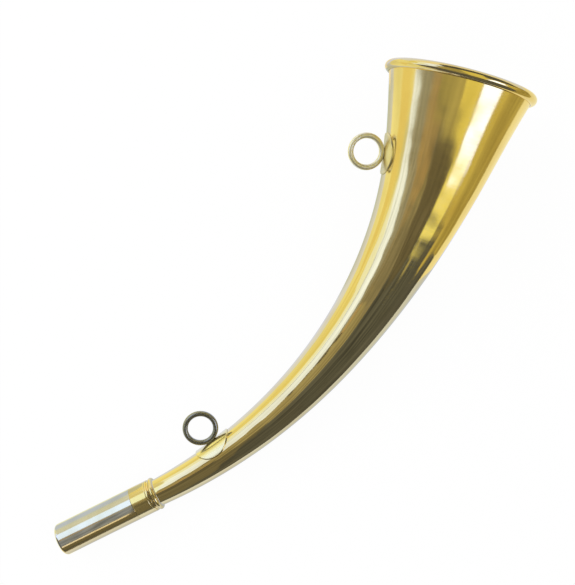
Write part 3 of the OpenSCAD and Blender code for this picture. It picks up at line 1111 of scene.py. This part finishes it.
@dataclass
class Studio:
    """White table, pale room, lamp and the cards that the polished metal mirrors.

    Lengths are in millimetres, and the lamp's power is in watts.
    """

    camera: Camera
    daylight: str = "#BCCAFF"
    daylight_glow: float = 1.62
    seen_share: float = 0.96
    mirrored_share: float = 0.9
    table_reach: float = 4000.0
    room_glow: float = 0.9
    lamp_power: float = 3.0
    lamp_size: tuple[float, float] = (900.0, 600.0)
    lamp_place: tuple[float, float, float] = (-700.0, 350.0, 550.0)

    def __post_init__(self) -> None:
        """Takes the middle of the table and its directions from the camera."""
        self.middle = Vector(self.camera.aim) * MM
        self.right = Vector((*self.camera.right[:2], 0)).normalized()
        self.upwards = Vector((0, 0, 1)).cross(self.right)

    def at(self, place: Sequence[float]) -> Vector:
        """Takes a place to the right, up and above, in millimetres, to the row frame."""
        flat = self.right * place[0] + self.upwards * place[1]
        return self.middle + (flat + Vector((0, 0, place[2]))) * MM

    def hung(self, glow: Glow, bm: bmesh.types.BMesh) -> None:
        """Makes a card that only reflections see, out of the camera's sight and of the light.

        Args:
            glow: Its name and light.
            bm: Its shape, in metres in the row frame. It is freed.
        """
        piece = shaped(glow.name, bm)
        piece.data.materials.append(self.glowing(glow))
        piece.visible_camera = False
        piece.visible_diffuse = False
        piece.visible_shadow = False

    def glowing(self, glow: Glow) -> bpy.types.Material:
        """Mixes the light of a card, which is mottled and fades out with its attribute.

        Args:
            glow: The light.

        Returns:
            The material.
        """
        material = bpy.data.materials.new(glow.name)
        tree = emptied(material)
        place = add_node(tree, "ShaderNodeTexCoord")
        spots = add_node(tree, "ShaderNodeTexNoise", {"Scale": 1 / (glow.grain * MM), "Detail": 2.0},
                         {"Vector": place.outputs["Object"]})
        level = add_node(tree, "ShaderNodeMapRange",
                         {"From Min": MOTTLE_SPAN[0], "From Max": MOTTLE_SPAN[1],
                          "To Min": glow.strength * (1 - glow.mottle),
                          "To Max": glow.strength * (1 + glow.mottle)}, {"Value": spots.outputs["Fac"]})
        light = add_node(tree, "ShaderNodeEmission", {"Color": linear(glow.tint)},
                         {"Strength": level.outputs[0]})
        clear = add_node(tree, "ShaderNodeBsdfTransparent")
        edge = add_node(tree, "ShaderNodeAttribute", {"attribute_name": FADE})
        mix = add_node(tree, "ShaderNodeMixShader", {},
                       {0: edge.outputs["Fac"], 1: clear.outputs[0], 2: light.outputs[0]})
        add_node(tree, "ShaderNodeOutputMaterial", {}, {"Surface": mix.outputs[0]})
        return material

    def card(self, card: Card | Wall) -> None:
        """Cuts one card, whose border fades out, and hangs it.

        Args:
            card: Its corners and light.
        """
        bm = bmesh.new()
        fade = bm.verts.layers.float.new(FADE)
        sheet = bm.faces.new([bm.verts.new(self.at(c)) for c in card.points()])
        border = set(bm.verts) if card.soft else set()
        if card.soft:
            bmesh.ops.inset_region(bm, faces=[sheet], thickness=card.soft * MM, use_boundary=True,
                                   use_even_offset=True)
        for vert in bm.verts:
            vert[fade] = 0.0 if vert in border else 1.0
        bmesh.ops.triangulate(bm, faces=bm.faces)
        self.hung(card, bm)

    def foot_card(self, foot: FootCard, curve: Curve, placement: Matrix) -> None:
        """Lays a strip along the foot of the horn, which fades out away from it and at its ends.

        Args:
            foot: The strip's place and light.
            curve: The horn's centreline and radius.
            placement: Takes the horn's own frame to the row frame.
        """
        bm = bmesh.new()
        layer = bm.verts.layers.float.new(FADE)
        rows = []
        for i in range(foot.steps + 1):
            s = foot.start + (foot.end - foot.start) * i / foot.steps
            ending = min(1.0, i / foot.ramp, (foot.steps - i) / foot.ramp)
            reach = foot.side.value * max(curve.radius(s), foot.least_r)
            row = []
            for share, fade in foot.shares:
                place = placement @ (curve.point(s) + across(curve.angle(s)) * reach * share)
                vert = bm.verts.new((place.x, place.y, foot.height * MM))
                vert[layer] = fade * ending
                row.append(vert)
            rows.append(row)
        for near, far in zip(rows, rows[1:]):
            for i in range(len(near) - 1):
                bm.faces.new((near[i], far[i], far[i + 1], near[i + 1]))
        self.hung(foot, bm)

    def shiny_rays(self, tree: bpy.types.NodeTree, path: bpy.types.Node) -> bpy.types.NodeSocket:
        """Tells the rays that come from metal and glass.

        Args:
            tree: The node tree.
            path: Its light path.

        Returns:
            1 for such a ray, and otherwise 0.
        """
        either = add_node(tree, "ShaderNodeMath", {"operation": "MAXIMUM"},
                          {0: path.outputs["Is Glossy Ray"], 1: path.outputs["Is Transmission Ray"]})
        return either.outputs[0]

    def floor(self) -> None:
        """Lays the white table, which keeps a trace of the horn's shadow."""
        bm = bmesh.new()
        bmesh.ops.create_grid(bm, x_segments=1, y_segments=1, size=self.table_reach * MM)
        table = shaped("table", bm)
        material = bpy.data.materials.new("white_table")
        tree = emptied(material)
        path = add_node(tree, "ShaderNodeLightPath")
        cloth = add_node(tree, "ShaderNodeBsdfDiffuse", {"Color": linear("#FAFAFA")})
        white = add_node(tree, "ShaderNodeEmission", {"Color": linear("#FFFFFF"), "Strength": 1.0})
        daylit = add_node(tree, "ShaderNodeEmission",
                          {"Color": linear(self.daylight), "Strength": self.daylight_glow})
        seen = add_node(tree, "ShaderNodeMath", {"operation": "MULTIPLY", 1: self.seen_share},
                        {0: path.outputs["Is Camera Ray"]})
        mirrored = add_node(tree, "ShaderNodeMath", {"operation": "MULTIPLY", 1: self.mirrored_share},
                            {0: self.shiny_rays(tree, path)})
        plain = add_node(tree, "ShaderNodeMixShader", {},
                         {0: seen.outputs[0], 1: cloth.outputs[0], 2: white.outputs[0]})
        mix = add_node(tree, "ShaderNodeMixShader", {},
                       {0: mirrored.outputs[0], 1: plain.outputs[0], 2: daylit.outputs[0]})
        add_node(tree, "ShaderNodeOutputMaterial", {}, {"Surface": mix.outputs[0]})
        table.data.materials.append(material)

    def room(self) -> None:
        """Lights the room evenly and shows it white."""
        world = bpy.data.worlds.new("room")
        bpy.context.scene.world = world
        tree = emptied(world)
        path = add_node(tree, "ShaderNodeLightPath")
        light = add_node(tree, "ShaderNodeBackground",
                         {"Color": linear("#FFFFFF"), "Strength": self.room_glow})
        white = add_node(tree, "ShaderNodeBackground", {"Color": linear("#FFFFFF"), "Strength": 1.0})
        shown = add_node(tree, "ShaderNodeMath", {"operation": "MAXIMUM"},
                         {0: path.outputs["Is Camera Ray"], 1: self.shiny_rays(tree, path)})
        mix = add_node(tree, "ShaderNodeMixShader", {},
                       {0: shown.outputs[0], 1: light.outputs[0], 2: white.outputs[0]})
        add_node(tree, "ShaderNodeOutputWorld", {}, {"Surface": mix.outputs[0]})

    def lamp(self) -> None:
        """Lights the table softly from the window side."""
        data = bpy.data.lights.new("window_lamp", "AREA")
        data.shape = "RECTANGLE"
        data.size = self.lamp_size[0] * MM
        data.size_y = self.lamp_size[1] * MM
        data.energy = self.lamp_power
        lamp = linked(data.name, data)
        lamp.location = self.at(self.lamp_place)
        lamp.rotation_mode = "QUATERNION"
        lamp.rotation_quaternion = (self.middle - lamp.location).to_track_quat("-Z", "Y")
        lamp.visible_glossy = False

    def build(self, curve: Curve, placement: Matrix) -> None:
        """Sets up the table, the room, the lamp and the cards.

        Args:
            curve: The horn's centreline and radius.
            placement: Takes the horn's own frame to the row frame.
        """
        self.floor()
        self.room()
        self.lamp()
        for card in CARDS:
            self.card(card)
        for foot in FOOT_CARDS:
            self.foot_card(foot, curve, placement)
        log.info("studio: %d cards", len(CARDS) + len(FOOT_CARDS))


CARDS = (
    # Cold daylight from the left
    Card("left_window", "#B0C2FF", strength=2.4, soft=45, mottle=0.12, grain=150, height=500, corners=(
        (-190, -110), (-240, -50), (-310, 10), (-690, 15), (-1710, -60), (-5500, -100), (-5500, 300),
        (-2350, 390), (-1137, 270), (-886, 284), (-736, 434), (-766, 590), (-740, 760), (-200, 400))),
    Card("pale_curtain", "#DAE8FF", strength=1.42, soft=40, height=499, corners=(
        (-5500, 250), (-2350, 335), (-1137, 210), (-840, 215), (-670, 400), (-690, 590), (-670, 790),
        (-860, 1150), (-1560, 1420), (-1400, 1000), (-1330, 760), (-1340, 600), (-1400, 440), (-2300, 760),
        (-5500, 1700))),
    Card("window_post", "#E8F0FF", strength=0.5, soft=4, height=480, corners=(
        (-588, 340), (-606, 250), (-690, 200), (-985, 190), (-2400, 0), (-2400, -30), (-980, 168),
        (-700, 180), (-628, 228), (-612, 340))),
    # Warm boards beyond the white table, and the wall behind them
    Card("warm_floor", "#FDFFD8", strength=0.98, soft=48, mottle=0.12, grain=60, height=1, corners=(
        (-110, -150), (-72, -88), (-48, -56), (-28, -20), (-18, 12), (2, 30), (12, 60), (8, 140),
        (-300, 400), (-6000, 6000), (-6000, -2500))),
    Card("gold_cloth", "#FFF4B6", strength=0.9, soft=10, height=1.2, corners=(
        (-40, 42), (-62, 104), (-800, 175), (-3000, 700), (-3000, -60), (-400, 44), (-140, 50))),
    Wall("warm_wall", "#FFFBC2", strength=0.91, mottle=0.12, grain=900, start=(-6000, 7000),
         end=(-6000, -2600), bottom=0, top=3300),
    # The room behind the camera, dark against the white table
    Card("dark_ceiling", "#DCE5FF", strength=0.14, soft=20, mottle=0.5, grain=130, height=505, corners=(
        (-5600, -60), (-1710, -40), (-690, 30), (-310, 30), (-150, 900), (2500, 900), (5000, 0),
        (5000, -6000), (-3000, -6000), (-5600, -2500))),
    Card("brown_patch", "#FFE7C3", strength=0.46, soft=12, mottle=0.3, grain=45, height=495, corners=(
        (-300, -20), (-410, -86), (-600, -110), (-660, -122), (-600, -142), (-295, -158), (-172, -168),
        (-108, -174), (-31, -190), (-10, -202), (-60, -150), (-200, -85))),
    Card("grey_patch", "#FFF8DC", strength=0.38, soft=24, mottle=0.35, grain=50, height=492, corners=(
        (-310, 12), (-250, -45), (-226, -95), (-104, -222), (-43, -242), (-20, -186), (-60, -140),
        (-200, -40))),
    Card("grey_strip", "#E4E8F4", strength=0.45, soft=20, mottle=0.4, grain=60, height=502, corners=(
        (-330, 70), (-690, 80), (-1710, 10), (-5500, -30), (-5500, -500), (-1500, -200), (-640, -130),
        (-420, -100), (-300, -40))),
    Card("dark_floor", "#DBE3FF", strength=0.16, soft=30, mottle=0.4, grain=60, height=1, corners=(
        (98, -16), (74, -26), (56, -40), (40, -54), (24, -66), (6, -79), (-4, -112), (-12, -190),
        (-18, -400), (-42, -1000), (-152, -3000), (1500, -6000), (6000, -6000), (4800, -3600), (190, -80))),
    Card("brown_floor", "#FFF09E", strength=0.44, soft=34, mottle=0.35, grain=50, height=1, corners=(
        (94, -12), (101, 0), (120, 25), (146, 48), (260, 100), (6000, 1500), (6000, -4500), (4800, -3620),
        (190, -84))),
    Card("bell_cloth", "#FBF8DA", strength=1.03, soft=6, height=0.9, corners=(
        (62, 4), (92, -34), (160, -20), (250, 50), (260, 130), (120, 120), (88, 60))),
    Card("bead_cloth", "#FFF6D2", strength=0.98, soft=5, height=0.8, corners=(
        (26, 78), (22, 104), (70, 104), (112, 80), (100, 62), (66, 80), (38, 86))),
    Card("front_floor", "#FFEFE0", strength=0.26, soft=14, mottle=0.4, grain=60, height=1, corners=(
        (-95, -155), (-62, -190), (-22, -240), (-30, -400), (-54, -1000), (-164, -3000), (-6000, -6000),
        (-6000, -2500))),
    Wall("dark_wall", "#DBE3FF", strength=0.17, mottle=0.4, grain=600, start=(2900, -2300),
         end=(1300, -3400), bottom=-100, top=3400),
    Wall("front_wall", "#E3EAFF", strength=0.17, mottle=0.4, grain=600, start=(1300, -3400),
         end=(-3000, -3400), bottom=0, top=3400),
    Wall("brown_wall", "#FFF09E", strength=0.52, mottle=0.25, grain=900, start=(6000, 1500),
         end=(2850, -2350), bottom=-100, top=3400),
    # A second window in a warm frame, which the bell mirrors
    Card("right_window", "#A2B3FF", strength=4.8, soft=14, height=486, corners=(
        (264, -285), (330, -328), (405, -365), (542, -431), (860, -593), (1213, -778), (920, -545),
        (860, -480), (800, -200), (460, -60))),
    Card("pale_shelf", "#FFF8C8", strength=0.4, soft=12, height=485, corners=(
        (268, -342), (335, -382), (345, -440), (275, -395))),
    Card("window_glow", "#FEFCAA", strength=1.12, soft=9, height=487, corners=(
        (235, -285), (225, -314), (298, -354), (381, -405), (519, -492), (800, -680), (890, -690),
        (900, -590), (543, -400), (407, -330), (323, -290))),
    Card("window_frame", "#FFF29B", strength=0.66, soft=22, mottle=0.35, grain=70, height=490, corners=(
        (205, -265), (250, -326), (381, -396), (519, -482), (850, -698), (1240, -958), (2250, -1640),
        (5500, -3850), (5500, 0), (205, 10))),
    # Brown shade in front, which the lower end mirrors
    Card("olive_patch", "#F4F0E6", strength=0.19, soft=60, mottle=0.3, grain=90, height=489, corners=(
        (-300, -150), (-185, -330), (-60, -1800), (400, -2400), (330, -1300), (60, -520), (-70, -220))),
    # Warm boards and shade close beside the bell
    Card("bell_board", "#FFF7B9", strength=0.45, soft=8, mottle=0.2, grain=25, height=150, corners=(
        (-42, 14), (-28, 11), (10, 2), (28, -7), (49, -13), (73, -24), (100, -42), (112, -52), (118, -42),
        (118, 110), (-42, 110))),
    Card("bell_glow", "#FFF69D", strength=0.85, soft=10, mottle=0.1, grain=25, height=149, corners=(
        (52, -4), (72, -16), (96, -34), (108, -45), (114, -38), (118, 100), (50, 100))),
    Card("bell_shade", "#FFF8EC", strength=0.15, soft=5, mottle=0.3, grain=12, height=148, corners=(
        (2, 2), (28, -7), (49, -13), (73, -24), (98, -38), (92, -50), (84, -70), (62, -78), (36, -60),
        (18, -44), (14, -26), (6, -14))),
    Card("brown_shade", "#FFFAF0", strength=0.27, soft=5, mottle=0.3, grain=12, height=147, corners=(
        (-60, 4), (-32, -5), (-6, -13), (13, -22), (22, -52), (2, -54), (-14, -34), (-36, -22),
        (-62, -12))),
    # Cloths close to the mouthpiece, which the bent tube doesn't mirror, and a bright slot between
    Card("grey_mat", "#DDEAFF", strength=0.86, soft=3, height=2, corners=(
        (-56, -68), (-97, -87), (-234, 30), (-182, 62))),
    Wall("cream_screen", "#F4FAE6", strength=0.8, start=(-182, 62), end=(-234, 30), bottom=0, top=60),
    Card("cream_cloth", "#FBFBE2", strength=0.82, soft=4, mottle=0.1, grain=20, height=40, corners=(
        (-115, -66), (-74, -47), (-93, -26), (-182, 62), (-234, 30), (-140, -46))),
    Card("white_cloth", "#CDE1FF", strength=1.7, soft=2.5, height=41, corners=(
        (-78, -40), (-120, -58), (-98, -92), (-59, -74))),
    Card("grey_cloth", "#F4FAFF", strength=0.33, soft=1.5, mottle=0.35, grain=8, height=42, corners=(
        (-63, -81), (-95, -97), (-87, -127), (-55, -112))),
    Card("bright_slot", "#FFF6E4", strength=1.1, soft=2.5, height=42, corners=(
        (-56, -110), (-87, -125), (-85, -136), (-54, -121))),
)

FOOT_CARDS = (
    # Shade of the horn on the table that it lies on
    FootCard("inner_shade", "#D0D8D8", strength=1.0, height=0.6, side=Side.INNER, start=-60, end=130),
    FootCard("bell_shade", "#C6CEB6", strength=1.0, height=0.7, side=Side.INNER, start=100, end=202, shares=(
        (0.0, 1.0), (1.0, 0.95), (1.4, 0.85), (2.0, 0.4), (3.0, 0.0))),
    FootCard("outer_shade", "#CBD6EA", strength=0.96, height=0.6, side=Side.OUTER, start=-60, end=150,
             shares=((0.0, 0.95), (0.8, 0.9), (1.3, 0.85), (2.2, 0.7), (3.5, 0.4), (5.0, 0.0))),
)


def main() -> None:
    """Builds the horn, the camera and the surroundings."""
    logging.basicConfig(level=logging.INFO, format="%(name)s %(message)s")
    curve = Curve()
    placement = Placement(Mouthpiece.mount_at()).matrix()
    Tube(curve, placement).build()
    for eye in Eye:
        CordEye(curve, placement, eye).build()
    Collar(curve, placement).build()
    Mouthpiece(placement).build()
    Reed().build()
    camera = Camera()
    camera.build()
    Studio(camera).build(curve, placement)
    bpy.context.scene.view_settings.view_transform = "Standard"


if __name__ == "__main__":
    main()
